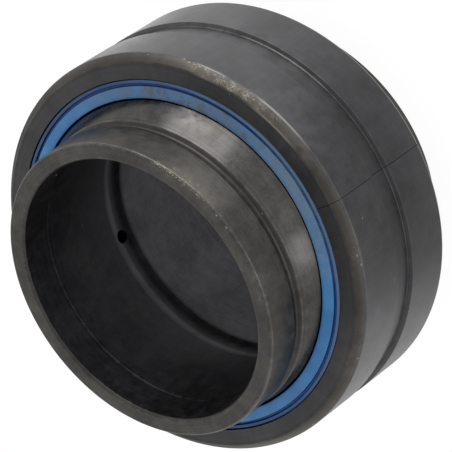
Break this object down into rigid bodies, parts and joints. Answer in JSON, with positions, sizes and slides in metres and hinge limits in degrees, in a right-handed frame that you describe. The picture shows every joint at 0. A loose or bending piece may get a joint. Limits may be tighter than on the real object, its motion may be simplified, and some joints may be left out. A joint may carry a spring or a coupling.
{
  "type": "pivot bearing",
  "caption": "Spherical plain pivot bearing: split outer ring with grease groove, extended inner ring with a ball-shaped middle, and a lip seal on each side.",
  "frame": {"origin": "centre of the ball, which is also the centre of the bounding box", "axes": "+Z along the inner ring's axis, out of its front end; the outer ring is swivelled about X"},
  "size_m": [0.12, 0.1236, 0.08],
  "materials": {
    "inner_ring_steel": "dark phosphate, satin",
    "outer_ring_steel": "dark phosphate, satin",
    "seal_blue": "smooth blue elastomer"
  },
  "bodies": {
    "inner_side": {"inner_ring": "inner_ring_steel"},
    "seals": {"front_seal": "seal_blue", "rear_seal": "seal_blue"},
    "outer_side": {"outer_ring": "outer_ring_steel"}
  },
  "joints": [
    {"name": "swivel", "type": "hinge", "parent": "inner_side", "child": "seals", "pos_m": [0, 0, 0], "axis": [1, 0, 0], "range_deg": [0, 12]},
    {"name": "outer_ring_turn", "type": "hinge", "parent": "seals", "child": "outer_side", "pos_m": [0, 0, 0], "axis": [0, 0.1045, 0.9945], "continuous": true}
  ]
}
